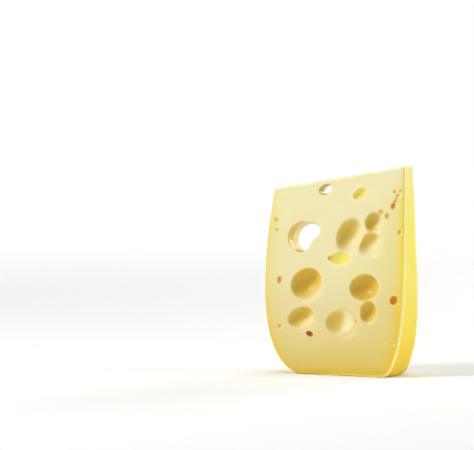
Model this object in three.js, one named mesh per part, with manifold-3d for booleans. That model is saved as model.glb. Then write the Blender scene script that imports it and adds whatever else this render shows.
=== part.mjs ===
// A slice of hard cheese with eyes, cut from a flat round wheel, standing on its rim.
// It is one piece: the rind is the wheel's own dried skin and the eyes are hollows left by gas.
// Frame in millimetres: +X runs across the wheel's thickness, +Z from the rim towards the
// wheel's centre, and the front cut face looks along -Y. The origin is under the slice's middle.

import Module from 'manifold-3d';
import * as THREE from 'three';
import { mergeVertices } from 'three/addons/utils/BufferGeometryUtils.js';

// Driving dimensions, in millimetres

const wheelRadius = 180;
const rimFlat = 0.5; // how far the resting rim has flattened under the slice's own weight
const rimThickness = 36; // from cut face to cut face, measured at the rim
const tipThickness = 16.6; // the same at the top of the slice
const tipHeight = 167.8; // top corner on the right
const tipHeightLeft = 147.4; // top corner on the left
const topSag = 0.6; // how far the middle of the top cut is pulled down
const topLeft = -55.6;
const topRight = 59.6;

// Half of the wheel's section, as distances across the wheel and heights above its rim
const section = {
  leftHub: [-49.3, wheelRadius],
  leftFacePull: [-62.6, 112],
  leftBelly: [-61.7, 70],
  leftShoulderPull: [-61.2, 34],
  leftShoulder: [-48.8, 14.5],
  leftHeelPull: [-39.6, 0],
  rimLeft: [-24.8, 0],
  rimRight: [44.2, 0],
  rightHeelPull: [48.8, 0.2],
  rightHeel: [51.4, 5.5],
  rightShoulderPull: [61.3, 26],
  rightBelly: [61.7, 66],
  rightFacePull: [61.6, 110],
  rightHub: [59, wheelRadius],
};

// Each eye opens in a cut face. x and z place its opening, long and short are the opening's
// half axes, tilt turns the long one from +X towards +Z in degrees, depth is how far it
// reaches in, and bulge says where it is widest: 0 at the face, above 0 inside, below 0 outside.
// lean swings the inner end of the eye towards -X and rise towards +Z, both in degrees.
const frontEyes = [
  { x: -29.3, z: 111.1, long: 11.6, short: 10.1, tilt: 45, depth: 33, bulge: 0.56, lean: 10.5, rise: -13 },
  { x: -20.2, z: 114.8, long: 7, short: 6.4, tilt: 5, depth: 33, bulge: 0.5, lean: 25, rise: -15 },
  { x: -28.8, z: 104.2, long: 7.2, short: 6.4, tilt: 60, depth: 31, bulge: 0.5, lean: 10, rise: -5 },
  { x: -23.1, z: 110.3, long: 8.6, short: 4.4, tilt: 51, depth: 33, bulge: 0.5, lean: 18, rise: -13 },
  { x: -9.1, z: 147.7, long: 5.6, short: 3.9, tilt: 30, depth: 27, bulge: 0.2, lean: 17, rise: -4 },
  { x: 21, z: 145.2, long: 6.4, short: 3.6, tilt: 37, depth: 3, bulge: -0.3, lean: 0, rise: 0 },
  { x: 4.7, z: 93.4, long: 9, short: 5, tilt: 3, depth: 3.5, bulge: -0.3, lean: 0, rise: 0 },
  { x: 11.8, z: 112.3, long: 14.5, short: 10.4, tilt: 60, depth: 8, bulge: -0.2, lean: 16, rise: 4 },
  { x: 33.2, z: 122.9, long: 8.2, short: 7, tilt: 60, depth: 6.5, bulge: -0.15, lean: 18, rise: 0 },
  { x: 29.5, z: 106.1, long: 10.5, short: 8.2, tilt: 35, depth: 7, bulge: -0.2, lean: 16, rise: 12 },
  { x: -25.6, z: 72.9, long: 14, short: 11.6, tilt: 37, depth: 10.5, bulge: -0.25, lean: 15, rise: 10 },
  { x: 26, z: 71, long: 12.6, short: 10.4, tilt: 15, depth: 9.5, bulge: -0.1, lean: 12, rise: 2 },
  { x: 30.5, z: 51.5, long: 9, short: 7, tilt: 80, depth: 7.5, bulge: -0.15, lean: 14, rise: 4 },
  { x: -29.2, z: 45.2, long: 11.8, short: 8.4, tilt: 20, depth: 8, bulge: -0.2, lean: 14, rise: 12 },
  { x: 3.9, z: 42.8, long: 12.8, short: 10.2, tilt: 5, depth: 6.5, bulge: -0.3, lean: 18, rise: 6 },
  { x: 53.2, z: 61.5, long: 3.6, short: 3, tilt: 70, depth: 3.6, bulge: 0, lean: 0, rise: 0 },
];

const backEyes = [
  { x: -42, z: 57, long: 11, short: 9, tilt: 120, depth: 8, bulge: -0.1, lean: 6, rise: 6 },
  { x: 2, z: 67, long: 13, short: 10.5, tilt: 25, depth: 10, bulge: -0.1, lean: -8, rise: 5 },
  { x: 46, z: 90, long: 10, short: 8, tilt: 60, depth: 8, bulge: -0.15, lean: 4, rise: 8 },
  { x: 40, z: 31, long: 9.5, short: 8, tilt: 150, depth: 7, bulge: -0.1, lean: -6, rise: 4 },
  { x: -8, z: 24, long: 8.5, short: 7.4, tilt: 10, depth: 7, bulge: -0.1, lean: 8, rise: 6 },
  { x: -48, z: 87, long: 6.5, short: 5, tilt: 80, depth: 4.5, bulge: -0.1, lean: 0, rise: 6 },
  { x: -2, z: 131, long: 7.6, short: 6, tilt: 35, depth: 6.5, bulge: 0, lean: -8, rise: 4 },
  { x: 41, z: 146, long: 8.4, short: 6.6, tilt: 140, depth: 6.5, bulge: 0, lean: 6, rise: 4 },
  { x: -41, z: 138, long: 5, short: 4.2, tilt: 20, depth: 4.2, bulge: 0, lean: 0, rise: 4 },
];

// Facets
const sectionSteps = 7;
const wheelSteps = 90;
const topSteps = 8;
const eyeStepsRound = 18;
const eyeStepsAcross = 10;
const clear = 30; // how far a cutting tool runs past what it cuts

// Cheese
const pasteColour = 0xf0e0a4;
const pasteRoughness = 0.5;

const wasm = await Module();
wasm.setup();

/** Half the slice's thickness at a height, in both cut faces' planes. */
function halfThickness(z) {
  const share = z / tipHeight;
  return (rimThickness + (tipThickness - rimThickness) * share) / 2;
}

/** Turns a closed geometry into a solid that can be joined and cut. */
function toSolid(geometry) {
  const bare = geometry.clone();
  bare.deleteAttribute('normal');
  bare.deleteAttribute('uv');
  const merged = mergeVertices(bare);
  return new wasm.Manifold(new wasm.Mesh({
    numProp: 3,
    vertProperties: new Float32Array(merged.attributes.position.array),
    triVerts: new Uint32Array(merged.index.array),
  }));
}

/** Turns a solid back into a geometry. */
function toGeometry(solid) {
  const mesh = solid.getMesh();
  const geometry = new THREE.BufferGeometry();
  geometry.setAttribute('position', new THREE.BufferAttribute(mesh.vertProperties, 3));
  geometry.setIndex(new THREE.BufferAttribute(mesh.triVerts, 1));
  geometry.computeVertexNormals();
  return geometry;
}

/** The whole wheel: its half section turned round the X axis, resting on its rim. */
function makeWheel() {
  const path = new THREE.Path();
  path.moveTo(...section.leftHub);
  path.quadraticCurveTo(...section.leftFacePull, ...section.leftBelly);
  path.quadraticCurveTo(...section.leftShoulderPull, ...section.leftShoulder);
  path.quadraticCurveTo(...section.leftHeelPull, ...section.rimLeft);
  path.lineTo(...section.rimRight);
  path.quadraticCurveTo(...section.rightHeelPull, ...section.rightHeel);
  path.quadraticCurveTo(...section.rightShoulderPull, ...section.rightBelly);
  path.quadraticCurveTo(...section.rightFacePull, ...section.rightHub);
  const profile = path.getPoints(sectionSteps)
    .map((point) => new THREE.Vector2(wheelRadius - point.y, point.x));
  const geometry = new THREE.LatheGeometry(profile, wheelSteps);
  geometry.rotateZ(-Math.PI / 2);
  geometry.translate(0, 0, wheelRadius - rimFlat);
  return toSolid(geometry);
}

/** What the two knife cuts leave: a bar along X that thins from the rim to the tip. */
function makeKnifeBar() {
  const width = 2 * (section.rightBelly[0] + clear);
  const top = tipHeight + clear;
  const shape = new THREE.Shape([
    new THREE.Vector2(-halfThickness(-clear), -clear),
    new THREE.Vector2(halfThickness(-clear), -clear),
    new THREE.Vector2(halfThickness(top), top),
    new THREE.Vector2(-halfThickness(top), top),
  ]);
  const geometry = new THREE.ExtrudeGeometry(shape, { depth: width, bevelEnabled: false });
  geometry.translate(0, 0, -width / 2);
  geometry.rotateX(Math.PI / 2);
  geometry.rotateZ(Math.PI / 2);
  return toSolid(geometry);
}

/** What the top cut and the surface under the slice leave: a slab between the two. */
function makeHeightSlab() {
  const slope = (tipHeight - tipHeightLeft) / (topRight - topLeft);
  const left = topLeft - clear;
  const right = topRight + clear;
  const shape = new THREE.Shape();
  shape.moveTo(left, 0);
  shape.lineTo(right, 0);
  shape.lineTo(right, tipHeight + slope * clear);
  shape.lineTo(topRight, tipHeight);
  shape.quadraticCurveTo(
    (topLeft + topRight) / 2,
    (tipHeight + tipHeightLeft) / 2 - topSag,
    topLeft,
    tipHeightLeft,
  );
  shape.lineTo(left, tipHeightLeft - slope * clear);
  const geometry = new THREE.ExtrudeGeometry(shape, {
    depth: 2 * rimThickness,
    bevelEnabled: false,
    curveSegments: topSteps,
  });
  geometry.translate(0, 0, -rimThickness);
  geometry.rotateX(Math.PI / 2);
  return toSolid(geometry);
}

/** One eye as a whole bubble. side is -1 for the front cut face and 1 for the back one. */
function makeBubble(eye, side) {
  const reach = eye.depth / (1 + eye.bulge);
  const swell = 1 / Math.sqrt(1 - eye.bulge ** 2);
  const geometry = new THREE.SphereGeometry(1, eyeStepsRound, eyeStepsAcross);
  geometry.scale(eye.long * swell, reach, eye.short * swell);
  geometry.rotateY(-THREE.MathUtils.degToRad(eye.tilt));
  geometry.translate(0, -side * eye.bulge * reach, 0);
  geometry.rotateX(-side * THREE.MathUtils.degToRad(eye.rise));
  geometry.rotateZ(-side * THREE.MathUtils.degToRad(eye.lean));
  geometry.translate(eye.x, side * halfThickness(eye.z), eye.z);
  return toSolid(geometry);
}

/** The slice: the wheel cut by knife, with every eye hollowed out. */
function makeSlice() {
  let slice = makeWheel()
    .intersect(makeKnifeBar())
    .intersect(makeHeightSlab());
  for (const eye of frontEyes) {
    slice = slice.subtract(makeBubble(eye, -1));
  }
  for (const eye of backEyes) {
    slice = slice.subtract(makeBubble(eye, 1));
  }
  return toGeometry(slice);
}

const cheese = new THREE.MeshStandardMaterial({
  color: pasteColour,
  roughness: pasteRoughness,
  metalness: 0,
});

const wedge = new THREE.Mesh(makeSlice(), cheese);
wedge.name = 'cheese_wedge';

const model = new THREE.Group();
model.add(wedge);

export default model;
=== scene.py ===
"""A slice of hard cheese with eyes, cut from a flat round wheel and standing on its rim.

The slice is one solid piece. Its rind is the wheel's own dried skin, and its eyes are hollows
that gas left in the paste, opened where the knife went through them. The whole shape is one
field of distances: the wheel's section, two knife cuts, a top cut and the bubbles, joined with
rounded edges. A net of quads is drawn over the place where the field is zero.

Lengths are in millimetres until the mesh and the studio are made, which are in metres.
"""

import itertools
import logging
import math
from dataclasses import dataclass
from enum import Enum
from functools import cached_property
from typing import ClassVar

import bpy
import numpy as np
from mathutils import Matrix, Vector
from numpy.typing import NDArray


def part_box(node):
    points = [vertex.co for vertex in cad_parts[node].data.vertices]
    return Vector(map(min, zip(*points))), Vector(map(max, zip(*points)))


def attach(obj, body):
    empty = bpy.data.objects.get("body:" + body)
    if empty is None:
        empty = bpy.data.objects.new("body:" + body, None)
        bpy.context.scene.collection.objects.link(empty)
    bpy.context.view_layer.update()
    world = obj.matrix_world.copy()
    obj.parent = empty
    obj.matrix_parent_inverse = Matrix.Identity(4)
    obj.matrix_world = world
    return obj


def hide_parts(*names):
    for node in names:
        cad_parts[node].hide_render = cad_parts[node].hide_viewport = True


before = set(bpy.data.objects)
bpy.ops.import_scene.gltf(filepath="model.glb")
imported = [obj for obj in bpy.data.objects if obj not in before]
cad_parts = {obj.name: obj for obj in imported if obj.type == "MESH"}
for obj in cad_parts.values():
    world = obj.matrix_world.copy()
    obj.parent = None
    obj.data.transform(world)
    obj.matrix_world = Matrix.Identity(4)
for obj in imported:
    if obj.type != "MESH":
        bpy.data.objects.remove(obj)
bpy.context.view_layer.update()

Floats = NDArray[np.float64]
Ints = NDArray[np.int64]
Bools = NDArray[np.bool_]
Pair = tuple[float, float]
Triple = tuple[float, float, float]
Colour = tuple[float, float, float, float]
Stops = tuple[tuple[float, Colour], ...]
Socket = bpy.types.NodeSocket

log = logging.getLogger("cheese_wedge")

MM = 0.001
NODE = "cheese_wedge"
BODY = "root"


# ---------------------------------------------------------------- shape helpers


def rounded_max(radius: float | Floats, *distances: Floats, power: float = 2.0) -> Floats:
    """Joins distance fields so that only what is inside all of them stays.

    Near an edge, where several fields pass -radius, the distance is measured from a point
    radius inside all of them: a circle's arc at power 2, and above it a curve that bends
    most in its middle and runs smoothly into both faces.

    Args:
        radius: How round the shared edges become, in millimetres.
        distances: The fields to join, each below zero inside.
        power: The power that the distances are added at.

    Returns:
        The joined field.
    """
    highest = distances[0]
    beyond = np.maximum(distances[0] + radius, 0.0) ** power
    for distance in distances[1:]:
        highest = np.maximum(highest, distance)
        beyond = beyond + np.maximum(distance + radius, 0.0) ** power
    return np.minimum(highest, -radius) + beyond ** (1 / power)


def curve(start: Pair, pull: Pair, end: Pair, steps: int) -> Floats:
    """Points on a quadratic curve: (1-t)^2 start + 2t(1-t) pull + t^2 end, without its end.

    Args:
        start: First point.
        pull: The point that the curve bends towards.
        end: Last point, which is left out.
        steps: How many points to give.

    Returns:
        An array of steps rows and 2 columns.
    """
    t = np.linspace(0.0, 1.0, steps, endpoint=False)[:, None]
    return np.square(1 - t) * start + 2 * t * (1 - t) * np.array(pull) + np.square(t) * end


@dataclass(frozen=True)
class Lumps:
    """A gentle unevenness in space, the same on every run.

    Attributes:
        size: Distance from one lump to the next, in millimetres.
        height: How far a lump stands out at most, in millimetres.
        seed: Chooses the pattern.
        stretch: How much longer the lumps are along X, Y and Z.
        lattice_side: How many lumps there are each way before the pattern comes again.
    """

    size: float
    height: float
    seed: int
    stretch: Triple = (1.0, 1.0, 1.0)
    lattice_side: int = 32

    @cached_property
    def lattice(self) -> Floats:
        """Random numbers from -1 to 1 at the corners of a cubic lattice."""
        shape = (self.lattice_side,) * 3
        return np.random.default_rng(self.seed).uniform(-1.0, 1.0, shape)

    def at(self, place: Floats) -> Floats:
        """Reads the lattice at any place, blending smoothly from corner to corner.

        Args:
            place: Points, with X, Y and Z on the last axis.

        Returns:
            How far the surface stands out at each point.
        """
        spot = place / (self.size * np.array(self.stretch))
        corner = np.floor(spot).astype(np.int64)
        share = spot - corner
        share = share * share * (3.0 - 2.0 * share)
        total = np.zeros(place.shape[:-1])
        for step in itertools.product((0, 1), repeat=3):
            index = tuple(np.mod(corner[..., a] + step[a], self.lattice_side) for a in range(3))
            weight = np.prod(np.where(step, share, 1.0 - share), axis=-1)
            total += self.lattice[index] * weight
        return self.height * total


# ---------------------------------------------------------------- the wheel and the cuts


@dataclass(frozen=True)
class WheelSection:
    """The wheel's outline in half section: distance across it, and height above its rim.

    Attributes:
        radius: The wheel's radius.
        rim_flat: How far the rim has flattened under the slice.
        left: The outline from the middle of the wheel's left face down to the rim. Curves
            run from each knot to the next, and bend towards the pull between them.
        right: The same from the rim up to the middle of the right face.
        chart_step: Spacing of the chart that the distances are read from.
        chart_margin: How far the chart reaches past the outline.
        curve_steps: Points on each curve of the outline.
        dents: The rind's unevenness.
    """

    radius: float = 180.0
    rim_flat: float = 0.5
    left: tuple[Pair, ...] = (
        (-49.3, 180.0),  # hub
        (-62.6, 112.0),  # pull of the face
        (-61.7, 70.0),  # belly
        (-61.2, 34.0),  # pull of the shoulder
        (-48.8, 14.5),  # shoulder
        (-39.6, 0.0),  # pull of the heel
        (-24.8, 0.0),  # left end of the flat rim
    )
    right: tuple[Pair, ...] = (
        (44.2, 0.0),  # right end of the flat rim
        (48.8, 0.2),  # pull of the heel
        (51.4, 5.5),  # heel
        (61.3, 26.0),  # pull of the shoulder
        (61.7, 66.0),  # belly
        (61.6, 110.0),  # pull of the face
        (59.0, 180.0),  # hub
    )
    chart_step: float = 0.75
    chart_margin: float = 8.0
    curve_steps: int = 32
    dents: Lumps = Lumps(17.0, 0.28, 11)

    @cached_property
    def outline(self) -> Floats:
        """The outline from hub to hub, round the left face, the rim and the right face.

        Returns:
            Its points, as rows of two.
        """
        rows = []
        for side in (self.left, self.right):
            for knot in range(0, len(side) - 1, 2):
                rows.append(curve(*side[knot:knot + 3], self.curve_steps))
            rows.append(side[-1:])
        return np.vstack(rows)

    @cached_property
    def chart(self) -> tuple[Floats, Floats]:
        """A flat chart of signed distances to the outline.

        Each chart point takes the shortest distance to the outline's straight pieces. It is
        inside, so below zero, where it lies above the rim line and between the two sides.

        Returns:
            The chart's lowest corner, and its values.
        """
        outline = self.outline
        low = outline.min(axis=0) - self.chart_margin
        high = outline.max(axis=0) + self.chart_margin
        across = np.arange(low[0], high[0], self.chart_step)
        above = np.arange(low[1], high[1], self.chart_step)
        point = np.stack(np.meshgrid(across, above, indexing="ij"), axis=-1)
        nearest = np.full(point.shape[:2], np.inf)
        for start, end in zip(outline[:-1], outline[1:]):
            way = end - start
            along = np.clip(((point - start) @ way) / (way @ way), 0.0, 1.0)
            gap = point - start - along[..., None] * way
            nearest = np.minimum(nearest, np.hypot(gap[..., 0], gap[..., 1]))
        lowest = int(np.flatnonzero((outline == self.left[-1]).all(axis=1))[0])
        left, right = outline[:lowest + 1][::-1], outline[lowest + 1:]
        left_side = np.interp(above, left[:, 1], left[:, 0])
        right_side = np.interp(above, right[:, 1], right[:, 0])
        inside = (across[:, None] > left_side) & (across[:, None] < right_side) & (above > 0)
        return low, np.where(inside, -nearest, nearest)

    def distance(self, place: Floats) -> Floats:
        """Distance from the wheel's skin, below zero inside the wheel.

        The height above the rim is the radius less the distance from the wheel's axis. The
        chart is read there, blended between its four nearest points.

        Args:
            place: Points, with X, Y and Z on the last axis.

        Returns:
            The distance at each point.
        """
        low, values = self.chart
        rise = self.radius - self.rim_flat - place[..., 2]
        height = self.radius - np.hypot(place[..., 1], rise)
        spot = (np.stack([place[..., 0], height], axis=-1) - low) / self.chart_step
        corner = np.clip(np.floor(spot).astype(np.int64), 0, np.array(values.shape) - 2)
        share = spot - corner
        i, j = corner[..., 0], corner[..., 1]
        s, t = share[..., 0], share[..., 1]
        lower = values[i, j] * (1 - s) + values[i + 1, j] * s
        upper = values[i, j + 1] * (1 - s) + values[i + 1, j + 1] * s
        return lower * (1 - t) + upper * t - self.dents.at(place)


@dataclass(frozen=True)
class Cuts:
    """Where the knife went: two cuts that converge towards the tip, and one across the top.

    Attributes:
        rim_thickness: From cut face to cut face at the rim.
        tip_thickness: The same at the tip's height.
        tip_height: Top corner on the right.
        tip_height_left: Top corner on the left.
        top_sag: How far the middle of the top cut is pulled down.
        top_left: Where the top cut starts, across the wheel.
        top_right: Where it ends.
        waver: How the long cuts waver.
        drag: The fine ridges that the blade left, along its way through the wheel.
        crumble: How the top cut is uneven.
    """

    rim_thickness: float = 36.0
    tip_thickness: float = 16.6
    tip_height: float = 167.8
    tip_height_left: float = 147.4
    top_sag: float = 0.6
    top_left: float = -55.6
    top_right: float = 59.6
    waver: Lumps = Lumps(34.0, 0.32, 23)
    drag: Lumps = Lumps(3.4, 0.05, 29, (7.0, 1.0, 1.0))
    crumble: Lumps = Lumps(9.0, 0.4, 31)

    def half_thickness(self, height: Floats | float) -> Floats | float:
        """Half the slice's thickness, which shrinks evenly with height."""
        loss = (self.rim_thickness - self.tip_thickness) / self.tip_height
        return (self.rim_thickness - loss * height) / 2

    def knife(self, place: Floats) -> Floats:
        """Distance outside the two cut faces: |Y| less half the thickness, square to them.

        Args:
            place: Points, with X, Y and Z on the last axis.

        Returns:
            The distance at each point.
        """
        lean = math.atan((self.rim_thickness - self.tip_thickness) / 2 / self.tip_height)
        gap = np.abs(place[..., 1]) - self.half_thickness(place[..., 2])
        return gap * math.cos(lean) - self.waver.at(place) - self.drag.at(place)

    def top(self, place: Floats) -> Floats:
        """Distance above the top cut, a shallow curve from the left corner to the right one.

        Args:
            place: Points, with X, Y and Z on the last axis.

        Returns:
            The distance at each point.
        """
        t = (place[..., 0] - self.top_left) / (self.top_right - self.top_left)
        pulled = (self.tip_height + self.tip_height_left) / 2 - self.top_sag
        height = (np.square(1 - t) * self.tip_height_left + 2 * t * (1 - t) * pulled
                  + np.square(t) * self.tip_height)
        slope = math.atan2(self.tip_height - self.tip_height_left,
                           self.top_right - self.top_left)
        return (place[..., 2] - height) * math.cos(slope) - self.crumble.at(place)


# ---------------------------------------------------------------- the eyes


class Face(Enum):
    """The cut face that an eye opens in, as the side of the slice that it is on."""

    FRONT = -1.0
    BACK = 1.0


class Wall(Enum):
    """What the wall of an eye looks like."""

    # Painted shade: the wall's own gold, deepened on the side sheltered from the key light
    GOLDEN_SHADE = "golden"
    # Painted light: walls of eyes right through, kept bright as if lit through the thin paste
    LIT = "lit"
    # Painted light: shallow walls kept bright yellow and unshaded
    BRIGHT = "bright"
    HONEY = "honey"
    AMBER = "amber"
    RUSTY = "rusty"


@dataclass(frozen=True)
class Eye:
    """A gas bubble, opened by the knife.

    Attributes:
        x: Where it opens, across the wheel.
        z: Where it opens, above the rim.
        long: Longer half axis of the opening.
        short: Shorter half axis of the opening.
        tilt: Turns the long axis from +X towards +Z, in degrees.
        depth: How far it reaches in.
        bulge: Where it is widest: 0 at the face, above 0 inside, below 0 outside.
        lean: Swings its inner end towards -X, in degrees.
        rise: Swings its inner end towards +Z, in degrees.
        fade: How round the lip is where the eye runs out into the cut face, as a share of
            the shorter half axis. The rest of the lip stays crisp.
        runs_to: Which way it runs out, from +X towards +Z, in degrees.
        gold_to: How far across, on the way to where it runs out, its golden colour and its
        painted shade are half gone: 0.5 is the middle, and past 1.3 it is golden all over.
            gone: 0.5 is the middle, and past 1.3 it is golden all over.
        face: The cut face that it opens in.
        wall: What its wall looks like.
    """

    x: float
    z: float
    long: float
    short: float
    tilt: float
    depth: float
    bulge: float = 0.1
    lean: float = 0.0
    rise: float = 0.0
    fade: float = 0.0
    runs_to: float = -40.0
    gold_to: float = 1.3
    face: Face = Face.FRONT
    wall: Wall = Wall.GOLDEN_SHADE

    # The same for every eye
    lip_share: ClassVar[float] = 0.07  # how round a crisp lip is, beside the shorter half axis
    least_lip: ClassVar[float] = 0.3
    most_lip: ClassVar[float] = 0.75
    even: ClassVar[float] = 0.8  # how much of the shorter half axis counts as the middle
    gold_shade_blur: ClassVar[float] = 0.42  # half the width of the step from golden to pale
    flow: ClassVar[float] = 3.0  # how smoothly the lip runs into the cut face; 2 is an arc
    least_length: ClassVar[float] = 1e-6  # keeps the middle of a bubble from dividing by zero

    @property
    def crisp_lip(self) -> float:
        """How round most of the lip is: a share of the eye's size, within limits."""
        return min(max(self.lip_share * self.short, self.least_lip), self.most_lip)

    @property
    def reach(self) -> float:
        """A distance from the opening's middle beyond which the eye changes nothing."""
        swell = 1 / math.sqrt(1 - self.bulge ** 2)
        return self.long * swell + self.depth + self.crisp_lip + self.fade * self.short

    def middle(self, cuts: Cuts) -> Floats:
        """The middle of the opening, in the cut face."""
        return np.array((self.x, self.face.value * cuts.half_thickness(self.z), self.z))

    def run_out(self, place: Floats) -> Floats:
        """How far on the side where the eye runs out each point lies.

        With c the cosine between a point's direction from the eye's middle and the way it
        runs out, this is (1 + c) / 2: 0 at the sheltered side and 1 at the other. Near the
        middle it is evened out.

        Args:
            place: Points, with X, Y and Z on the last axis.

        Returns:
            The share for each point.
        """
        dx, dz = place[..., 0] - self.x, place[..., 2] - self.z
        way = math.radians(self.runs_to)
        ahead = dx * math.cos(way) + dz * math.sin(way)
        return (1 + ahead / np.maximum(np.hypot(dx, dz), self.even * self.short)) / 2

    # Painted shade: keeps the gold to the side of the eye sheltered from the key light
    def painted_shade_side(self, place: Floats) -> Floats:
        """How golden each point may be, with a smooth step where the eye runs out.

        Args:
            place: Points, with X, Y and Z on the last axis.

        Returns:
            1 where it is fully golden and 0 where it isn't at all.
        """
        late = (self.gold_to + self.gold_shade_blur - self.run_out(place)) / (2 * self.gold_shade_blur)
        late = np.clip(late, 0.0, 1.0)
        return late * late * (3 - 2 * late)

    def lip(self, place: Floats) -> Floats:
        """The lip's radius nearest to each point, wider where the eye runs out."""
        return self.crisp_lip + self.fade * self.short * np.square(self.run_out(place))

    def distance(self, place: Floats, cuts: Cuts) -> Floats:
        """Distance from the bubble's wall, below zero inside the bubble.

        The bubble is an ellipsoid. With k the length of a point scaled by one over the half
        axes, and m its length scaled by one over their squares, the distance is k(k-1)/m.

        Args:
            place: Points, with X, Y and Z on the last axis.
            cuts: The knife cuts, which say how deep the cut face lies.

        Returns:
            The distance at each point.
        """
        side = self.face.value
        lean, rise, tilt = (math.radians(turn) for turn in (self.lean, self.rise, self.tilt))
        inner = self.depth / (1 + self.bulge)
        swell = 1 / math.sqrt(1 - self.bulge ** 2)
        axes = (self.long * swell, inner, self.short * swell)
        offset = place - self.middle(cuts)
        dx, dy, dz = offset[..., 0], -side * offset[..., 1], offset[..., 2]
        aside = dx * math.cos(lean) + dy * math.sin(lean)
        inward = dy * math.cos(lean) - dx * math.sin(lean)
        upward = dz * math.cos(rise) - inward * math.sin(rise)
        inward = inward * math.cos(rise) + dz * math.sin(rise) - self.bulge * inner
        along = aside * math.cos(tilt) + upward * math.sin(tilt)
        beside = upward * math.cos(tilt) - aside * math.sin(tilt)
        once = [part / axis for part, axis in zip((along, inward, beside), axes)]
        twice = [part / axis for part, axis in zip(once, axes)]
        k = np.sqrt(sum(part * part for part in once))
        m = np.sqrt(sum(part * part for part in twice))
        return k * (k - 1) / np.maximum(m, self.least_length)


def eyes(*rows: tuple[float, ...], **shared: float | Face | Wall) -> tuple[Eye, ...]:
    """Makes eyes from rows of sizes, in the order of Eye's fields, and from what they share."""
    return tuple(Eye(*row, **shared) for row in rows)


# A row gives x, z, long, short, tilt and depth, and then as many as the eye needs of bulge,
# lean, rise, fade, runs_to and gold_to.

FRONT_EYES = (
    # Right through: four bubbles that ran together, and a small one above them
    eyes(
        (-29.3, 111.1, 11.6, 10.1, 45, 33, 0.56, 10.5, -13),
        (-20.2, 114.8, 7, 6.4, 5, 33, 0.5, 25, -15),
        (-28.8, 104.2, 7.2, 6.4, 60, 31, 0.5, 10, -5),
        (-23.1, 110.3, 8.6, 4.4, 51, 33, 0.5, 18, -13),
        (-9.1, 147.7, 5.6, 3.9, 30, 27, 0.2, 17, -4),
        # Their walls are painted light, kept bright as if lit through the thin paste
        wall=Wall.LIT,
    )
    # Shallow, with bright walls: painted light, bright yellow and unshaded
    + eyes(
        (21, 145.2, 6.4, 3.6, 37, 3, -0.3),
        (4.7, 93.4, 9, 5, 3, 3.5, -0.3),
        wall=Wall.BRIGHT,
    )
    # Golden, with painted shade on the sheltered side, running out pale into the cut face on the
    # other
    + eyes(
        (11.8, 112.3, 14.5, 10.4, 60, 8, -0.2, 16, 4, 0.78, -30, 0.36),
        (33.2, 122.9, 8.2, 7, 60, 6.5, -0.15, 18, 0, 0.78, -15, 0.46),
        (29.5, 106.1, 10.5, 8.2, 35, 7, -0.2, 16, 12, 0.91, -45, 0.36),
        (-25.6, 72.9, 14, 11.6, 37, 10.5, -0.25, 15, 10, 0.585, -45, 0.72),
        (26, 71, 12.6, 10.4, 15, 9.5, -0.1, 12, 2, 0.39, -30, 0.95),
        (30.5, 51.5, 9, 7, 80, 7.5, -0.15, 14, 4, 0.52, -40, 0.8),
        (-29.2, 45.2, 11.8, 8.4, 20, 8, -0.2, 14, 12, 0.78, -50, 0.52),
        (3.9, 42.8, 12.8, 10.2, 5, 6.5, -0.3, 18, 6, 1.04, -15, 0.36),
    )
    # Beside the right rind
    + eyes((53.2, 61.5, 3.6, 3, 70, 3.6, 0), wall=Wall.AMBER)
)

FRONT_PITS = (
    eyes((-3.6, 93.1, 2.2, 1.8, 0, 2), wall=Wall.HONEY)
    + eyes((-20.3, 32.3, 2.9, 1.8, 160, 2.2), wall=Wall.RUSTY)
    + eyes(
        (-52.3, 122.5, 1.9, 1.6, 90, 1.2),
        (-51.6, 114.3, 1.5, 1.2, 90, 0.9),
        # Painted light: these pits' walls are kept pale, as if lit
        wall=Wall.LIT,
    )
    + eyes(
        (40.2, 131, 2.2, 1.9, 20, 1.4),
        (45.7, 128, 2.4, 1.9, 100, 1.6),
        (19.2, 43.5, 2.1, 1.8, 120, 4.5),
        (-46.3, 37.6, 2.4, 1.9, 30, 1.4),
        (54.7, 144.5, 1.5, 1.2, 60, 1.1),
        (51.7, 147.6, 1.4, 1.2, 90, 0.9),
        (57.2, 148, 1.4, 1.2, 0, 0.9),
        (56.7, 115.6, 2, 1.3, 80, 1.4),
        (53.2, 27.2, 1.5, 1.3, 90, 1.7),
        (52.7, 140, 2.6, 1.4, 65, 1.2),
        wall=Wall.HONEY,
    )
    + eyes(
        (-48.4, 74.5, 2.9, 1.7, 80, 1.3),
        (50.7, 136, 2.3, 1.7, 75, 1.3),
        wall=Wall.AMBER,
    )
)

BACK_EYES = (
    eyes(
        (-42, 57, 11, 9, 120, 8, -0.1, 6, 6),
        (2, 67, 13, 10.5, 25, 10, -0.1, -8, 5),
        (46, 90, 10, 8, 60, 8, -0.15, 4, 8),
        (40, 31, 9.5, 8, 150, 7, -0.1, -6, 4),
        (-8, 24, 8.5, 7.4, 10, 7, -0.1, 8, 6),
        fade=0.52,
        gold_to=0.8,
        face=Face.BACK,
    )
    + eyes(
        (-48, 87, 6.5, 5, 80, 4.5, -0.1, 0, 6),
        (-2, 131, 7.6, 6, 35, 6.5, 0, -8, 4),
        (41, 146, 8.4, 6.6, 140, 6.5, 0, 6, 4),
        (-41, 138, 5, 4.2, 20, 4.2, 0, 0, 4),
        fade=0.39,
        gold_to=0.9,
        face=Face.BACK,
    )
)

BACK_PITS = eyes(
    (15, 108, 2.6, 2.2, 60, 1.8),
    (-25, 33, 2.8, 2, 20, 1.9),
    (19, 47, 2.2, 2, 0, 1.5),
    (53, 118, 2.6, 1.8, 110, 1.7),
    (-29, 82, 2.2, 1.8, 50, 1.5),
    (28, 122, 2, 1.6, 10, 1.4),
    (-51, 110, 2.2, 1.7, 95, 1.4),
    face=Face.BACK,
    wall=Wall.HONEY,
)


# ---------------------------------------------------------------- the whole field


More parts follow.
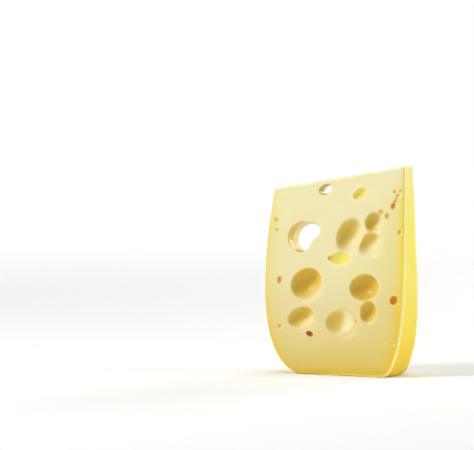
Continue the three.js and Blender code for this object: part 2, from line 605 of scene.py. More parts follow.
@dataclass(frozen=True)
class SliceShape:
    """The slice as one field of distances, below zero in the cheese.

    Attributes:
        section: The wheel's section.
        cuts: The knife's cuts.
        eyes: Every eye and pit.
        arris: How round the edges between cuts and rind are.
        pucker: The unevenness of the eyes' walls.
        far: What stands for a distance that is too long to matter.
    """

    section: WheelSection = WheelSection()
    cuts: Cuts = Cuts()
    eyes: tuple[Eye, ...] = FRONT_EYES + FRONT_PITS + BACK_EYES + BACK_PITS
    arris: float = 1.5
    pucker: Lumps = Lumps(5.5, 0.22, 41)
    far: float = 100.0

    def near(self, eye: Eye, place: Floats) -> Bools:
        """Which points lie within an eye's reach."""
        return np.linalg.norm(place - eye.middle(self.cuts), axis=-1) < eye.reach

    def uncut(self, place: Floats) -> Floats:
        """The slice before its eyes are opened: wheel, resting surface, knife and top cuts."""
        shell = np.maximum(self.section.distance(place), -place[..., 2])
        return rounded_max(self.arris, shell, self.cuts.knife(place), self.cuts.top(place))

    def wall(self, place: Floats, wanted: tuple[Eye, ...]) -> Floats:
        """Distance from the nearest wall of the wanted eyes.

        Args:
            place: Points, with X, Y and Z on the last axis.
            wanted: The eyes to look at.

        Returns:
            The distance at each point, at most the far distance.
        """
        nearest = np.full(place.shape[:-1], self.far)
        for eye in wanted:
            near = self.near(eye, place)
            nearest[near] = np.minimum(nearest[near], eye.distance(place[near], self.cuts))
        return nearest

    def nearest_eye(self, place: Floats) -> tuple[Floats, Floats]:
        """Reads the eye whose wall is nearest to each point.

        Args:
            place: Points, with X, Y and Z on the last axis.

        Returns:
            How much painted shade and gold the point takes, from 0 where the eye runs out to 1
            opposite, and how deep it lies under the cut face that the eye doesn't open in.
        """
        nearest = np.full(place.shape[:-1], self.far)
        painted_shade_side = np.ones(place.shape[:-1])
        beyond = np.full(place.shape[:-1], self.far)
        for eye in self.eyes:
            near = self.near(eye, place)
            spot = place[near]
            distance = eye.distance(spot, self.cuts)
            closer = distance < nearest[near]
            other_face = self.cuts.half_thickness(spot[..., 2]) + eye.face.value * spot[..., 1]
            nearest[near] = np.where(closer, distance, nearest[near])
            painted_shade_side[near] = np.where(closer, eye.painted_shade_side(spot), painted_shade_side[near])
            beyond[near] = np.where(closer, other_face, beyond[near])
        return painted_shade_side, beyond

    def at(self, place: Floats) -> Floats:
        """The finished slice: each bubble taken out in turn, leaving a rounded lip.

        Args:
            place: Points, with X, Y and Z on the last axis.

        Returns:
            The distance from its surface at each point, below zero in the cheese.
        """
        solid = self.uncut(place)
        for eye in self.eyes:
            near = self.near(eye, place)
            spot = place[near]
            uneven = self.pucker.at(spot) * min(1.0, eye.short / self.pucker.size)
            bubble = eye.distance(spot, self.cuts) - uneven
            solid[near] = rounded_max(eye.lip(spot), solid[near], -bubble, power=eye.flow)
        return solid


# ---------------------------------------------------------------- the net of quads


@dataclass
class SurfaceNet:
    """Draws a closed net of quads where a field of distances is zero.

    Attributes:
        shape: The field.
        step: The net's mesh width.
        steps_below: How many steps the grid starts below the box.
        steps_above: How many more grid points there are than the box needs.
        relaxings: How often the net is evened out.
        settlings: How often its knots are moved onto the surface each time.
        least_slope: The gentlest slope that a knot follows all the way.
        feel: How far apart the field is read to find which way it rises.
        batch: How many layers of the grid are worked out at once.
    """

    shape: SliceShape
    step: float = 0.92
    steps_below: float = 2.5
    steps_above: int = 3
    relaxings: int = 4
    settlings: int = 2
    least_slope: float = 0.3
    feel: float = 0.15
    batch: int = 16

    def grid(self, low: Floats, high: Floats) -> tuple[Floats, Floats]:
        """Reads the field at the points of a cubic grid that covers a box.

        Args:
            low: The box's lowest corner.
            high: Its highest corner.

        Returns:
            The grid's first point, and the field's values.
        """
        start = low - self.steps_below * self.step
        count = np.ceil((high - start) / self.step).astype(int) + self.steps_above
        axes = [start[a] + self.step * np.arange(count[a]) for a in range(3)]
        layers = []
        for first in range(0, count[0], self.batch):
            some = np.meshgrid(axes[0][first:first + self.batch], *axes[1:], indexing="ij")
            layers.append(self.shape.at(np.stack(some, axis=-1)))
        return start, np.concatenate(layers)

    def knots(self, values: Floats) -> tuple[Floats, Ints]:
        """One knot in each cell that the surface passes, at the mean of its edge crossings.

        Args:
            values: The field at the grid's points.

        Returns:
            The knots in grid steps, and each cell's knot number, -1 where it has none.
        """
        corners = list(itertools.product((0, 1), repeat=3))
        inside = values < 0
        cells = np.array(values.shape) - 1
        held = sum(
            inside[tuple(slice(c, c + n) for c, n in zip(corner, cells))].astype(np.int8)
            for corner in corners
        )
        passed = (held > 0) & (held < len(corners))
        cell = np.argwhere(passed)
        total = np.zeros(cell.shape)
        hits = np.zeros(len(cell))
        for first, second in itertools.combinations(corners, 2):
            way = np.subtract(second, first)
            if np.abs(way).sum() != 1:
                continue
            here = values[tuple((cell + first).T)]
            there = values[tuple((cell + second).T)]
            crossed = (here < 0) != (there < 0)
            share = np.where(crossed, here / np.where(crossed, here - there, 1.0), 0.0)
            total += crossed[:, None] * (np.array(first) + share[:, None] * way)
            hits += crossed
        number = np.full(passed.shape, -1, dtype=np.int64)
        number[passed] = np.arange(len(cell))
        return cell + total / hits[:, None], number

    def quads(self, values: Floats, number: Ints) -> Ints:
        """A quad round each grid edge that the surface crosses, wound to face outwards.

        Args:
            values: The field at the grid's points.
            number: Each cell's knot number.

        Returns:
            An array of quads, as four knot numbers each.
        """
        found = []
        for axis in range(3):
            order = (axis, (axis + 1) % 3, (axis + 2) % 3)
            inside = np.transpose(values < 0, order)
            cell = np.transpose(number, order)
            low, high = inside[:-1, 1:-1, 1:-1], inside[1:, 1:-1, 1:-1]
            around = [cell[:, :-1, :-1], cell[:, 1:, :-1], cell[:, 1:, 1:], cell[:, :-1, 1:]]
            for crossed, turn in ((low & ~high, 1), (high & ~low, -1)):
                found.append(np.stack([ring[crossed] for ring in around][::turn], axis=-1))
        return np.concatenate(found)

    def rise(self, place: Floats) -> tuple[Floats, Floats]:
        """Reads the field four times round each point.

        Args:
            place: The points.

        Returns:
            The field there, and the way it rises fastest.
        """
        ways = np.array([(1, -1, -1), (-1, -1, 1), (-1, 1, -1), (1, 1, 1)], dtype=float)
        value = np.zeros(len(place))
        slope = np.zeros(place.shape)
        for way in ways:
            read = self.shape.at(place + self.feel * way)
            value += read / len(ways)
            slope += read[:, None] * way / (len(ways) * self.feel)
        return value, slope

    def settle(self, place: Floats) -> tuple[Floats, Floats]:
        """Moves points onto the surface along the field's slope.

        Args:
            place: The points.

        Returns:
            The moved points and the surface's outward direction at each.
        """
        outward = np.zeros(place.shape)
        for _ in range(self.settlings):
            value, slope = self.rise(place)
            steepness = np.maximum(np.linalg.norm(slope, axis=1), self.least_slope)
            outward = slope / steepness[:, None]
            move = np.clip(value / steepness, -self.step / 2, self.step / 2)
            place = place - move[:, None] * outward
        return place, outward

    def draw(self, low: Floats, high: Floats) -> tuple[Floats, Ints]:
        """Makes the net, evens it out and lays it on the surface.

        Each evening moves a knot half way to the mean of its neighbours, but only along the
        surface, so the shape stays as it is.

        Args:
            low: Lowest corner of the box to search.
            high: Highest corner of that box.

        Returns:
            The knots' places, and the quads.
        """
        start, values = self.grid(low, high)
        knots, number = self.knots(values)
        quads = self.quads(values, number)
        place, outward = self.settle(start + self.step * knots)
        ends = quads.ravel()
        nexts = np.roll(quads, -1, axis=1).ravel()
        degree = np.bincount(ends, minlength=len(place)).astype(float)
        for _ in range(self.relaxings):
            mean = np.stack(
                [np.bincount(ends, place[nexts, a], len(place)) / degree for a in range(3)],
                axis=1,
            )
            shift = (mean - place) / 2
            shift -= (shift * outward).sum(axis=1, keepdims=True) * outward
            place, outward = self.settle(place + shift)
        return place, quads


# ---------------------------------------------------------------- finishes


def tone(red: int, green: int, blue: int) -> Colour:
    """A linear colour with full alpha, from display values of 0 to 255, by the sRGB curve.

    Args:
        red: Red as displayed.
        green: Green as displayed.
        blue: Blue as displayed.

    Returns:
        The colour for a shader.
    """
    parts = []
    for value in (red, green, blue):
        share = value / 255
        low = share <= 0.04045
        parts.append(share / 12.92 if low else ((share + 0.055) / 1.055) ** 2.4)
    return (parts[0], parts[1], parts[2], 1.0)


def tones(*rows: tuple[float, int, int, int]) -> Stops:
    """Stops of a colour ramp, from rows of a value and the colour displayed there."""
    return tuple((at, tone(*displayed)) for at, *displayed in rows)


@dataclass(frozen=True)
class Grain:
    """Cloudy noise.

    Attributes:
        size: Width of its lumps, in millimetres.
        detail: How many finer layers it has.
        roughness: How strong those layers are.
        stretch: Scale along each axis; below 1 draws the lumps out.
    """

    size: float
    detail: float = 3.0
    roughness: float = 0.5
    stretch: Triple = (1.0, 1.0, 1.0)


@dataclass(frozen=True)
class Step:
    """A smooth step from one value to another, held beyond them.

    Attributes:
        low: Where it starts.
        high: Where it ends.
        start: Its value there.
        end: Its value at the other end.
    """

    low: float
    high: float
    start: float = 0.0
    end: float = 1.0


def fill(node: bpy.types.Node, values: dict[str, float | Triple | Colour]) -> None:
    """Sets a node's own inputs, each by its name."""
    for name, value in values.items():
        node.inputs[name].default_value = value


class Nodes:
    """A material's node tree, with short ways to add the nodes that the finishes share."""

    def __init__(self, material: bpy.types.Material) -> None:
        """Empties the material's tree and adds its shader and output.

        Args:
            material: The material to build.
        """
        material.use_nodes = True
        self.tree = material.node_tree
        self.tree.nodes.clear()
        output = self.add("ShaderNodeOutputMaterial")
        self.shader = self.add("ShaderNodeBsdfPrincipled")
        self.join(self.shader.outputs["BSDF"], output.inputs["Surface"])

    def add(self, kind: str) -> bpy.types.Node:
        """Adds a node of a kind."""
        return self.tree.nodes.new(kind)

    def join(self, source: Socket | float | Colour, target: Socket) -> None:
        """Links an output to an input, or sets the input where a plain value is given.

        Args:
            source: The output or the value.
            target: The input.
        """
        if isinstance(source, Socket):
            self.tree.links.new(source, target)
        else:
            target.default_value = source

    def attribute(self, name: str) -> Socket:
        """A number stored on the mesh's points.

        Args:
            name: What it is stored as.

        Returns:
            The number.
        """
        node = self.add("ShaderNodeAttribute")
        node.attribute_name = name
        return node.outputs["Fac"]

    def place(self, stretch: Triple = (1, 1, 1)) -> Socket:
        """Object coordinates in metres.

        Args:
            stretch: What they are multiplied by along each axis.

        Returns:
            The coordinates.
        """
        coordinates = self.add("ShaderNodeTexCoord")
        mapping = self.add("ShaderNodeMapping")
        mapping.inputs["Scale"].default_value = stretch
        self.join(coordinates.outputs["Object"], mapping.inputs["Vector"])
        return mapping.outputs["Vector"]

    def height(self) -> Socket:
        """Height above the resting surface.

        Returns:
            The height in metres.
        """
        split = self.add("ShaderNodeSeparateXYZ")
        self.join(self.place(), split.inputs["Vector"])
        return split.outputs["Z"]

    def noise(self, grain: Grain) -> Socket:
        """Cloudy noise.

        Args:
            grain: Its settings.

        Returns:
            The noise, from 0 to 1.
        """
        node = self.add("ShaderNodeTexNoise")
        fill(node, {
            "Scale": 1 / (grain.size * MM),
            "Detail": grain.detail,
            "Roughness": grain.roughness,
        })
        self.join(self.place(grain.stretch), node.inputs["Vector"])
        return node.outputs["Fac"]

    def maths(self, operation: str, first: Socket, second: Socket | float) -> Socket:
        """One step of arithmetic.

        Args:
            operation: Blender's name for it.
            first: A socket.
            second: A socket or a number.

        Returns:
            The result.
        """
        node = self.add("ShaderNodeMath")
        node.operation = operation
        self.join(first, node.inputs[0])
        self.join(second, node.inputs[1])
        return node.outputs[0]

    def spread(self, value: Socket, step: Step) -> Socket:
        """Maps a number through a smooth step.

        Args:
            value: The number.
            step: The step.

        Returns:
            The mapped number.
        """
        node = self.add("ShaderNodeMapRange")
        node.interpolation_type = "SMOOTHSTEP"
        self.join(value, node.inputs["Value"])
        fill(node, {
            "From Min": step.low,
            "From Max": step.high,
            "To Min": step.start,
            "To Max": step.end,
        })
        return node.outputs["Result"]

    def blend(self, share: Socket, first: Socket, second: Socket) -> Socket:
        """Blends two numbers, by the Mix node's sockets for numbers.

        Args:
            share: How much of the second counts.
            first: A number.
            second: Another.

        Returns:
            The blended number.
        """
        node = self.add("ShaderNodeMix")
        for source, socket in zip((share, first, second), (0, 2, 3)):
            self.join(source, node.inputs[socket])
        return node.outputs[0]

    def ramp(self, value: Socket, stops: Stops) -> Socket:
        """A colour for each value.

        Args:
            value: What chooses the colour.
            stops: Values, rising, each with its colour.

        Returns:
            The colour.
        """
        low, high = stops[0][0], stops[-1][0]
        scaled = self.add("ShaderNodeMapRange")
        self.join(value, scaled.inputs["Value"])
        fill(scaled, {"From Min": low, "From Max": high})
        node = self.add("ShaderNodeValToRGB")
        elements = node.color_ramp.elements
        while len(elements) < len(stops):
            elements.new(1.0)
        for element, (at, colour) in zip(elements, stops):
            element.position = (at - low) / (high - low)
            element.color = colour
        self.join(scaled.outputs["Result"], node.inputs["Fac"])
        return node.outputs["Color"]

    def mix(self, share: Socket | float, first: Socket, second: Socket | Colour,
            method: str = "MIX") -> Socket:
        """Blends two colours, by the Mix node's sockets for colours.

        Args:
            share: How much of the second shows.
            first: A colour.
            second: The colour over it.
            method: Blender's name for how they combine.

        Returns:
            The blended colour.
        """
        node = self.add("ShaderNodeMix")
        node.data_type = "RGBA"
        node.blend_type = method
        for source, socket in zip((share, first, second), (0, 6, 7)):
            self.join(source, node.inputs[socket])
        return node.outputs[2]

    def bump(self, height: Socket, depth: float) -> Socket:
        """Fine relief.

        Args:
            height: The relief, from 0 to 1.
            depth: How deep it is, in millimetres.

        Returns:
            The surface's direction.
        """
        node = self.add("ShaderNodeBump")
        fill(node, {"Strength": 1.0, "Distance": depth * MM})
        self.join(height, node.inputs["Height"])
        return node.outputs["Normal"]


@dataclass(frozen=True)
class CheeseFinish:
    """Paste, eye walls and rind, as one finish that follows the mesh's stored distances.

    Attributes:
        paste: Colours of the cut paste by its distance from the rind, in millimetres.
        painted_height_shade: Painted shade: what the paste is multiplied by, by height in metres,
        darker towards the bottom where less light falls.
        eye: Colours of an eye's wall by its depth on its sheltered side, in millimetres: partly
            the
        wall's own gold, partly painted shade.
        painted_glow: Painted light: the pale colour of an eye's wall close to the cut face that
            it
        breaks through, as if light shone through the thin paste.
        wall_tints_and_light: Colours of the walls that aren't golden: painted light on the lit
            and
        bright walls, and the own tints of the honey, amber and rusty ones.
        rind: Colours of the rind by height in metres, deeper yellow low down: partly the rind's
            own
        colour, partly painted shade.
        rind_mottle: Colour of the rind's darker flecks.
        arris: Painted highlight: a paler colour along the rind's edge by the cut faces, where the
        rounded edge catches the light.
        painted_halo: Painted light: the pale colour of the thin paste round a bright eye.
        clouds: Unevenness of the paste's colour.
        cloud_pull: How far the clouds move that colour, in millimetres of depth.
        rind_pull: The same for the rind's inner edge.
        in_eye: Blend from the cut face to an eye's wall, by distance from the wall.
        in_wall_tint: The same for the other walls.
        near_bright: Blend to the painted halo of light, by distance from a bright wall.
        thin: Blend to the painted glow of light, by depth under the cut face that the eye breaks
        through.
        on_rind: Blend from the paste to the rind, by depth under the skin.
        near_knife_highlight: Blend to the painted highlight's colour, by distance from the cut
            faces.
        flecks: The rind's flecks.
        fleck_share: How much they show.
        cut_gloss: Noise and roughness of the cut face.
        eye_gloss: The same of the eyes' walls.
        rind_gloss: The same of the rind.
        relief: How deep the finest relief is, in millimetres.
        crumbs: Grain of the cut face.
        streaks: Traces that the knife left.
        cut_relief: How much of the relief the cut face has.
        pebbles: Grain of the rind.
        rind_relief: How much of the relief the rind has.
        inside_light: How much light passes into the cheese.
        inside_radius: How far its red, green and blue go, beside each other.
        inside_reach: How far they go, in millimetres.
        bend: How much the surface bends light.
    """

    paste: Stops = tones(
        (0.0, 252, 229, 68),
        (2.5, 250, 228, 88),
        (5.0, 248, 231, 146),
        (10.0, 246, 234, 166),
        (30.0, 248, 239, 186),
        (60.0, 249, 240, 192),
    )
    # Painted shade: the paste grows darker towards the bottom, where less light falls
    painted_height_shade: Stops = tones(
        (0.0, 230, 214, 146),
        (0.012, 236, 224, 178),
        (0.035, 240, 232, 208),
        (0.056, 243, 238, 224),
        (0.08, 249, 248, 240),
        (0.16, 255, 255, 255),
    )
    # Partly the walls' own gold, partly painted shade that deepens with depth on the sheltered
    # side
    eye: Stops = tones(
        (0.0, 247, 238, 190),
        (0.3, 244, 230, 168),
        (1.0, 239, 217, 128),
        (2.5, 235, 206, 100),
        (6.0, 229, 194, 74),
        (12.0, 225, 187, 62),
    )
    # Painted light: the pale cream of a thin wall with light shining through it
    painted_glow: Colour = tone(255, 250, 214)
    # Lit and bright walls are painted light; honey, amber and rusty are the walls' own tints
    wall_tints_and_light: tuple[tuple[Wall, Colour], ...] = (
        (Wall.LIT, tone(247, 220, 104)),
        (Wall.BRIGHT, tone(255, 234, 116)),
        (Wall.HONEY, tone(244, 212, 112)),
        (Wall.AMBER, tone(232, 172, 60)),
        (Wall.RUSTY, tone(196, 106, 36)),
    )
    # Partly the rind's own colour, partly painted shade: deeper yellow low down, where less light
    # falls
    rind: Stops = tones(
        (0.0, 240, 197, 12),
        (0.02, 243, 209, 22),
        (0.045, 247, 222, 56),
        (0.07, 250, 229, 86),
        (0.12, 249, 232, 86),
        (0.155, 245, 229, 120),
        (0.167, 244, 230, 148),
    )
    rind_mottle: Colour = tone(244, 216, 76)
    # Painted highlight along the rind's edge by the cut faces
    arris: Colour = tone(255, 244, 170)
    # Painted light: the thin paste round a bright eye, kept pale as if lit through
    painted_halo: Colour = tone(253, 249, 222)
    clouds: Grain = Grain(22.0)
    cloud_pull: float = 5.0
    rind_pull: float = 0.5
    in_eye: Step = Step(1.1, 0.1)
    in_wall_tint: Step = Step(0.8, 0.0)
    near_bright: Step = Step(2.6, 0.6, 0.0, 0.7)
    thin: Step = Step(8.0, 5.5)
    on_rind: Step = Step(1.5, 0.6)
    near_knife_highlight: Step = Step(4.2, 1.8, 0.0, 0.8)
    flecks: Grain = Grain(2.6, 4.0, 0.6)
    fleck_share: Step = Step(0.42, 0.7, 0.0, 0.25)
    cut_gloss: tuple[Grain, Step] = (Grain(7.0), Step(0.3, 0.7, 0.42, 0.54))
    eye_gloss: tuple[Grain, Step] = (Grain(3.0, 2.0), Step(0.3, 0.7, 0.36, 0.46))
    rind_gloss: tuple[Grain, Step] = (Grain(1.8), Step(0.3, 0.7, 0.34, 0.5))
    relief: float = 0.07
    crumbs: Grain = Grain(1.1, 4.0, 0.6)
    streaks: Grain = Grain(1.6, 2.0, 0.5, (0.1, 1.0, 1.0))
    cut_relief: float = 0.4
    pebbles: Grain = Grain(1.5, 4.0, 0.6)
    rind_relief: float = 0.5
    inside_light: float = 0.35
    inside_radius: Triple = (1.0, 0.6, 0.25)
    inside_reach: float = 1.5
    bend: float = 1.42

    def material(self) -> bpy.types.Material:
        """Builds the finish.

        Returns:
            The material.
        """
        material = bpy.data.materials.new("cheese")
        nodes = Nodes(material)
        depth = nodes.attribute("skin_mm")
        clouds = nodes.noise(self.clouds)
        in_eye = nodes.spread(nodes.attribute("wall_mm"), self.in_eye)
        eye = self.cut_colour(nodes, depth, clouds, in_eye)

        # Rind: bright yellow with soft flecks, deeper yellow low down, partly painted shade, and
        # a
        # painted highlight: a paler line along the knife's edge, where the rounded edge catches
        # the light
        flecks = nodes.spread(nodes.noise(self.flecks), self.fleck_share)
        rind = nodes.mix(flecks, nodes.ramp(nodes.height(), self.rind), self.rind_mottle)
        # Painted highlight: paler along the rind's edge next to the cut faces
        edge = nodes.spread(nodes.attribute("knife_mm"), self.near_knife_highlight)
        rind = nodes.mix(edge, rind, self.arris)
        rind_depth = nodes.maths("ADD", depth, nodes.maths("MULTIPLY", clouds, self.rind_pull))
        on_rind = nodes.spread(rind_depth, self.on_rind)
        nodes.join(nodes.mix(on_rind, eye, rind), nodes.shader.inputs["Base Color"])

        # Gloss: moist paste, shinier eye walls, satin rind
        cut_gloss, eye_gloss, rind_gloss = (
            nodes.spread(nodes.noise(grain), step)
            for grain, step in (self.cut_gloss, self.eye_gloss, self.rind_gloss)
        )
        gloss = nodes.blend(on_rind, nodes.blend(in_eye, cut_gloss, eye_gloss), rind_gloss)
        nodes.join(gloss, nodes.shader.inputs["Roughness"])

        # Relief: grain and knife drag on the paste, a pebbled rind
        grain = nodes.maths("ADD", nodes.noise(self.crumbs), nodes.noise(self.streaks))
        relief = nodes.blend(on_rind, nodes.maths("MULTIPLY", grain, self.cut_relief),
                             nodes.maths("MULTIPLY", nodes.noise(self.pebbles), self.rind_relief))
        nodes.join(nodes.bump(relief, self.relief), nodes.shader.inputs["Normal"])

        fill(nodes.shader, {
            "Subsurface Weight": self.inside_light,
            "Subsurface Radius": self.inside_radius,
            "Subsurface Scale": self.inside_reach * MM,
            "IOR": self.bend,
        })
        return material

    def cut_colour(self, nodes: Nodes, depth: Socket, clouds: Socket, in_eye: Socket) -> Socket:
        """The colour of the cut paste and of the eyes opened in it.

        Args:
            nodes: The finish's nodes.
            depth: Depth under the rind.
            clouds: Unevenness from 0 to 1.
            in_eye: 1 on an eye's wall and 0 on the cut face.

        Returns:
            The colour.
        """
        # Paste: cream, yellower towards the rind, with faint clouds, painted shade that darkens
        # it towards the bottom, and painted light that makes it pale by bright eyes
        wandered = nodes.maths("ADD", depth, nodes.maths("MULTIPLY", clouds, self.cloud_pull))
        paste = nodes.ramp(nodes.maths("SUBTRACT", wandered, self.cloud_pull / 2), self.paste)
        # Painted shade: the paste is multiplied darker towards the bottom
        paste = nodes.mix(1.0, paste, nodes.ramp(nodes.height(), self.painted_height_shade), "MULTIPLY")
        # Painted light: a pale halo round the bright eyes
        painted_halo = nodes.spread(nodes.attribute("bright_mm"), self.near_bright)
        paste = nodes.mix(painted_halo, paste, self.painted_halo)

        # Eye walls: golden where they are deep, with painted shade on their sheltered side, and
        # painted light that makes them pale where they are thin
        # Painted shade: the gold deepens with depth on each eye's sheltered side
        golden = nodes.ramp(nodes.attribute("gold_and_shade_mm"), self.eye)
        eye = nodes.mix(in_eye, paste, golden)
        # Painted light on the lit and bright walls, own tints on the others
        for wall, tint in self.wall_tints_and_light:
            tinted = nodes.spread(nodes.attribute(f"{wall.value}_mm"), self.in_wall_tint)
            eye = nodes.mix(tinted, eye, tint)
        # Painted light: eye walls turn pale cream near the far cut face, as if lit through the
        # paste
        thin = nodes.spread(nodes.attribute("beyond_mm"), self.thin)
        return nodes.mix(nodes.maths("MULTIPLY", thin, in_eye), eye, self.painted_glow)


@dataclass(frozen=True)
class FloorFinish:
    """Plain white surface that fades into the white surroundings away from the slice.

    Attributes:
        colour: The surface's colour.
        roughness: How dull it is.
        shine: How much it mirrors.
        fade_start: Where it starts to fade, in metres from the middle.
        fade_end: Where it is gone.
    """

    colour: Colour = tone(252, 252, 251)
    roughness: float = 0.9
    shine: float = 0.0
    fade_start: float = 0.5
    fade_end: float = 1.5

    def material(self) -> bpy.types.Material:
        """Builds the finish.

        Returns:
            The material.
        """
        material = bpy.data.materials.new("floor")
        nodes = Nodes(material)
        fill(nodes.shader, {
            "Base Color": self.colour,
            "Roughness": self.roughness,
            "Specular IOR Level": self.shine,
        })
        distance = nodes.add("ShaderNodeVectorMath")
        distance.operation = "LENGTH"
        nodes.join(nodes.place(), distance.inputs[0])
        shown = nodes.spread(distance.outputs["Value"], Step(self.fade_end, self.fade_start))
        nodes.join(shown, nodes.shader.inputs["Alpha"])
        return material


# ---------------------------------------------------------------- the slice


def show(name: str, data: bpy.types.ID) -> bpy.types.Object:
    """Puts a mesh, a light or a camera into the scene.

    Args:
        name: What the object is called.
        data: What it holds.

    Returns:
        The object.
    """
    thing = bpy.data.objects.new(name, data)
    bpy.context.scene.collection.objects.link(thing)
    return thing


@dataclass
class CheeseSlice:
    """The slice itself: its mesh, the distances stored on it, and its finish.

    Attributes:
        shape: The field that gives its surface.
        finish: What it looks like.
        fine_step: Width of the net's quads.
        thin_rind: How thick the rind is on the left, as a share of its usual thickness.
        thick_rind: The same on the right.
        rind_turn: How far from the middle the thickness has mostly changed.
        rind_loss: How much of the thickness is lost towards the tip.
    """

    shape: SliceShape = SliceShape()
    finish: CheeseFinish = CheeseFinish()
    fine_step: float = 0.92
    quick_step: float = 1.5
    thin_rind: float = 0.55
    thick_rind: float = 1.6
    rind_turn: float = 25.0
    rind_loss: float = 0.98

    def store(self, mesh: bpy.types.Mesh, name: str, values: Floats) -> None:
        """Stores one number on each of the mesh's points."""
        layer = mesh.attributes.new(name, "FLOAT", "POINT")
        layer.data.foreach_set("value", values.astype(np.float32))

    def rind_depth(self, place: Floats) -> Floats:
        """Depth under the wheel's skin, stretched where the rind is thin.

        The depth is divided by the rind's thickness there, which grows smoothly from the
        left side of the wheel to the right one, and shrinks with the square of the height.

        Args:
            place: Points, with X, Y and Z on the last axis.

        Returns:
            The depth at each point, in shares of the rind's thickness.
        """
        share = (1 + np.tanh(place[..., 0] / self.rind_turn)) / 2
        thickness = self.thin_rind + (self.thick_rind - self.thin_rind) * share
        thickness *= 1 - self.rind_loss * np.square(place[..., 2] / self.shape.cuts.tip_height)
        return -self.shape.section.distance(place) / thickness

    def mesh(self) -> bpy.types.Mesh:
        """Draws the net inside the frame's box and stores the distances that the finish reads.

        Returns:
            The mesh, in metres.
        """
        low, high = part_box(NODE)
        step = self.fine_step
        net = SurfaceNet(self.shape, step)
        place, quads = net.draw(np.array(low) / MM, np.array(high) / MM)
        mesh = bpy.data.meshes.new(NODE)
        mesh.vertices.add(len(place))
        mesh.vertices.foreach_set("co", (place * MM).astype(np.float32).ravel())
        mesh.loops.add(quads.size)
        mesh.loops.foreach_set("vertex_index", quads.astype(np.int32).ravel())
        mesh.polygons.add(len(quads))
        mesh.polygons.foreach_set("loop_start", np.arange(0, quads.size, 4, dtype=np.int32))
        mesh.update(calc_edges=True)
        mesh.validate()
        mesh.shade_smooth()
        self.store(mesh, "skin_mm", self.rind_depth(place))
        self.store(mesh, "knife_mm", -self.shape.cuts.knife(place))
        painted_shade_side, beyond = self.shape.nearest_eye(place)
        # Depth on each eye's sheltered side, which the finish turns into gold and painted shade
        self.store(mesh, "gold_and_shade_mm", -self.shape.uncut(place) * painted_shade_side)
        self.store(mesh, "beyond_mm", beyond)
        self.store(mesh, "wall_mm", self.shape.wall(place, self.shape.eyes))
        for kind, _ in self.finish.wall_tints_and_light:
            tinted = tuple(eye for eye in self.shape.eyes if eye.wall is kind)
            self.store(mesh, f"{kind.value}_mm", self.shape.wall(place, tinted))
        return mesh

    def build(self) -> bpy.types.Object:
        """Makes the slice, dresses it and puts it in the frame in place of its plain solid.

        Returns:
            The slice.
        """
        piece = show("cheese_slice", self.mesh())
        piece.data.materials.append(self.finish.material())
        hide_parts(NODE)
        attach(piece, BODY)
        log.info("%s: %d quads", piece.name, len(piece.data.polygons))
        return piece


# ---------------------------------------------------------------- the studio


@dataclass(frozen=True)
class Softbox:
    """A square light with soft edges, aimed at the slice.

    Attributes:
        name: What it does.
        place: Where it stands, in metres.
        side: Its width, in metres.
        power: Its power, in watts.
        colour: Its colour.
    """

    name: str
    place: Triple
    side: float
    power: float
    colour: Triple = (1.0, 1.0, 1.0)

    def build(self, aim: Vector) -> bpy.types.Object:
        """Makes the light and turns it towards a point.

        Args:
            aim: The point.

        Returns:
            The light.
        """
        data = bpy.data.lights.new(self.name, "AREA")
        data.shape = "SQUARE"
        data.size = self.side
        data.energy = self.power
        data.color = self.colour
        light = show(self.name, data)
        light.location = self.place
        light.rotation_euler = (aim - light.location).to_track_quat("-Z", "Y").to_euler()
        return light


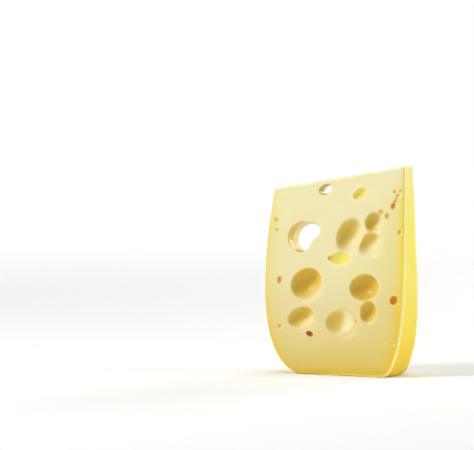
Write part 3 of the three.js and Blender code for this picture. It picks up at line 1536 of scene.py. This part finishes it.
@dataclass(frozen=True)
class Studio:
    """The floor, the lights, the surroundings and the camera.

    Attributes:
        azimuth: How far the camera stands to the right of straight ahead, in degrees.
        elevation: How far above the horizon it stands, in degrees.
        distance: How far from the slice it stands, in metres.
        sight: How far it sees, in metres.
        lens: Its focal length, in millimetres.
        aside: How far left of the slice's middle it looks, in metres.
        above: How far above the slice's middle it looks, in metres.
        aim_height: Height of the slice's middle, in metres.
        floor_radius: Half the floor's width, in metres.
        sky: Brightness of the surroundings as light.
        lights: The softboxes.
        finish: What the floor looks like.
    """

    azimuth: float = 26.0
    elevation: float = 4.2
    distance: float = 4.0
    sight: float = 40.0
    lens: float = 380.0
    aside: float = 0.0834
    above: float = 0.0389
    aim_height: float = 0.08
    floor_radius: float = 1.6
    sky: float = 0.18
    lights: tuple[Softbox, ...] = (
        Softbox("key", (-1.3, -1.4, 1.4), 0.7, 29.2, (1.0, 0.985, 0.96)),
        Softbox("side fill", (1.7, 0.5, 0.45), 1.0, 11.5),
        Softbox("front fill", (1.0, -2.0, 0.8), 1.0, 5.0),
        Softbox("back", (0.35, 1.6, 0.5), 0.8, 12.0),
        Softbox("overhead", (0.0, 0.1, 2.0), 1.2, 15.0),
    )
    finish: FloorFinish = FloorFinish()

    def floor(self) -> bpy.types.Object:
        """A flat square at the height of the slice's lowest point.

        Returns:
            The floor.
        """
        reach = self.floor_radius
        corners = [(-reach, -reach, 0), (reach, -reach, 0), (reach, reach, 0), (-reach, reach, 0)]
        mesh = bpy.data.meshes.new("floor")
        mesh.from_pydata(corners, [], [(0, 1, 2, 3)])
        mesh.materials.append(self.finish.material())
        floor = show("floor", mesh)
        return floor

    def surroundings(self) -> None:
        """White all round as seen by the camera, and a softer white as light."""
        world = bpy.data.worlds.new("surroundings")
        world.use_nodes = True
        bpy.context.scene.world = world
        tree = world.node_tree
        background = tree.nodes["Background"]
        fill(background, {"Color": (1.0, 1.0, 1.0, 1.0)})
        path = tree.nodes.new("ShaderNodeLightPath")
        strength = tree.nodes.new("ShaderNodeMapRange")
        fill(strength, {"To Min": self.sky, "To Max": 1.0})
        tree.links.new(path.outputs["Is Camera Ray"], strength.inputs["Value"])
        tree.links.new(strength.outputs["Result"], background.inputs["Strength"])

    def camera(self) -> bpy.types.Object:
        """The camera, level, with the slice off the middle of its view.

        Returns:
            The camera.
        """
        a, e = math.radians(self.azimuth), math.radians(self.elevation)
        back = Vector((math.sin(a) * math.cos(e), -math.cos(a) * math.cos(e), math.sin(e)))
        right = Vector((math.cos(a), math.sin(a), 0.0))
        up = back.cross(right)
        aim = Vector((0.0, 0.0, self.aim_height))
        data = bpy.data.cameras.new("camera")
        data.lens = self.lens
        data.clip_end = self.sight
        camera = show("camera", data)
        camera.location = aim + back * self.distance
        looked_at = aim - right * self.aside + up * self.above
        way = looked_at - camera.location
        camera.rotation_euler = way.to_track_quat("-Z", "Y").to_euler()
        bpy.context.scene.camera = camera
        return camera

    def build(self) -> None:
        """Sets the studio up."""
        self.floor()
        self.surroundings()
        self.camera()
        for softbox in self.lights:
            softbox.build(Vector((0.0, 0.0, self.aim_height)))
        bpy.context.scene.view_settings.view_transform = "Standard"
        log.info("studio: %d lights", len(self.lights))


def main() -> None:
    """Builds the slice and the studio."""
    logging.basicConfig(level=logging.INFO, format="%(name)s: %(message)s")
    CheeseSlice().build()
    Studio().build()


if __name__ == "__main__":
    main()
